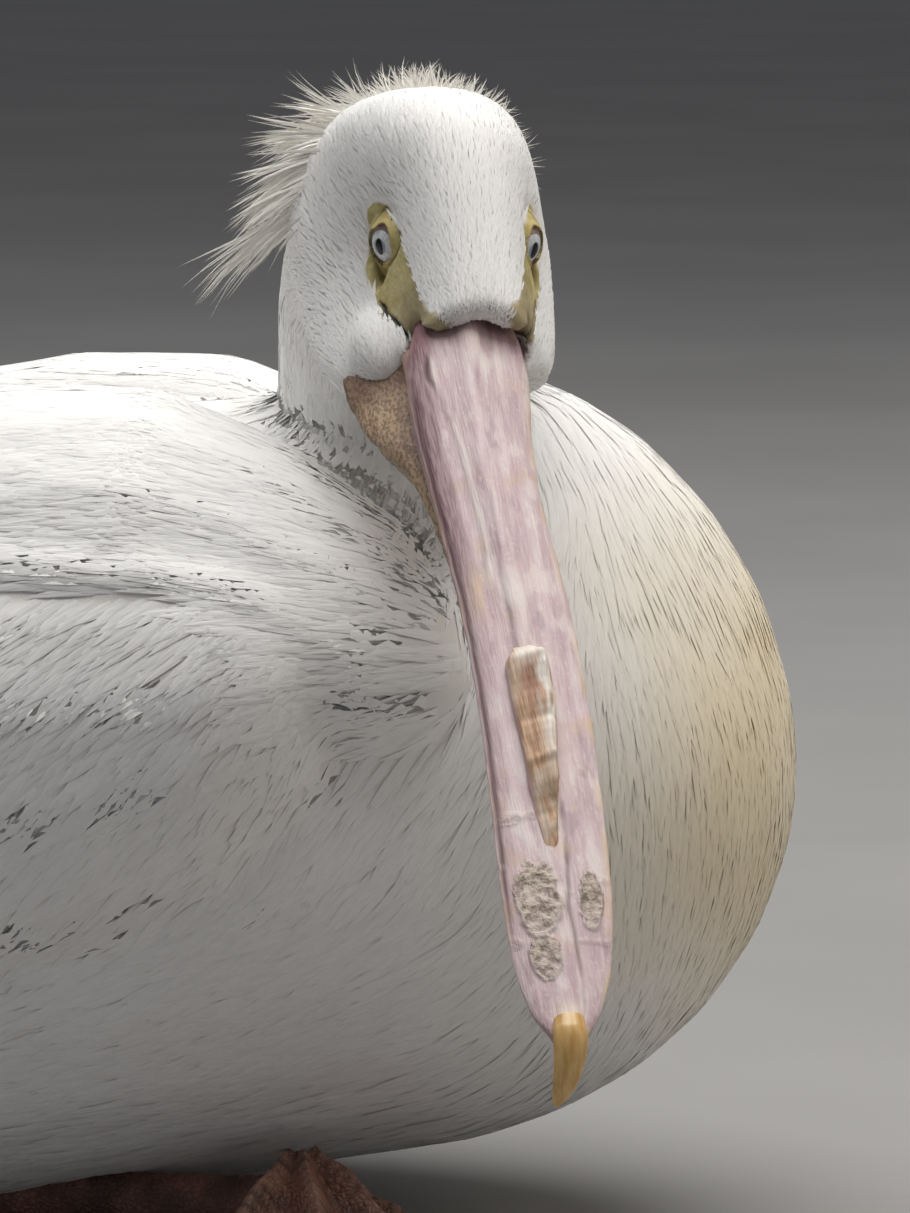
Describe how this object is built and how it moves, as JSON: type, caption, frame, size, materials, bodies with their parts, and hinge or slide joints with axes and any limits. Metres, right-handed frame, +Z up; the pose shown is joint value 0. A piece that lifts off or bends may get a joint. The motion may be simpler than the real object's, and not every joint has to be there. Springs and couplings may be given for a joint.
{
  "type": "white pelican",
  "caption": "Adult white pelican resting on its belly, neck drawn in, head turned to the side with the long pouched bill lowered; wings folded.",
  "frame": {"origin": "on the floor, on the flat face under the belly where the bird rests", "axes": "+X the way the body faces, +Y the bird's left side, +Z up"},
  "size_m": [0.712, 0.5204, 0.38],
  "materials": {
    "plumage": "soft overlapping white feathers",
    "flight_feather": "black flight feathers with a slight sheen",
    "crest_plume": "thin wispy cream plumes",
    "bill_horn": "dull pink horn with pale worn streaks",
    "bill_ridge_horn": "rough fibrous stub of the shed horn",
    "nail_horn": "smooth orange-yellow horn",
    "pouch_skin": "thin folded orange-tan skin with fine dark speckles",
    "eye": "wet eye with a pale blue-grey iris",
    "foot_skin": "scaled orange-brown skin",
    "claw_horn": "dark horn"
  },
  "bodies": {
    "root": {"bill_lower": "bill_horn", "bill_nail": "nail_horn", "bill_ridge": "bill_ridge_horn", "bill_upper": "bill_horn", "claw_left_1": "claw_horn", "claw_left_2": "claw_horn", "claw_left_3": "claw_horn", "claw_left_4": "claw_horn", "claw_right_1": "claw_horn", "claw_right_2": "claw_horn", "claw_right_3": "claw_horn", "claw_right_4": "claw_horn", "crest": "crest_plume", "eye_left": "eye", "eye_right": "eye", "foot_left": "foot_skin", "foot_right": "foot_skin", "head": "plumage", "leg_left": "foot_skin", "leg_right": "foot_skin", "neck_base": "plumage", "neck_upper": "plumage", "pouch": "pouch_skin", "scapulars_left": "plumage", "scapulars_right": "plumage", "tail": "plumage", "trunk": "plumage", "wing_left_coverts": "plumage", "wing_left_primaries": "flight_feather", "wing_left_secondaries": "plumage", "wing_right_coverts": "plumage", "wing_right_primaries": "flight_feather", "wing_right_secondaries": "plumage"}
  },
  "joints": []
}
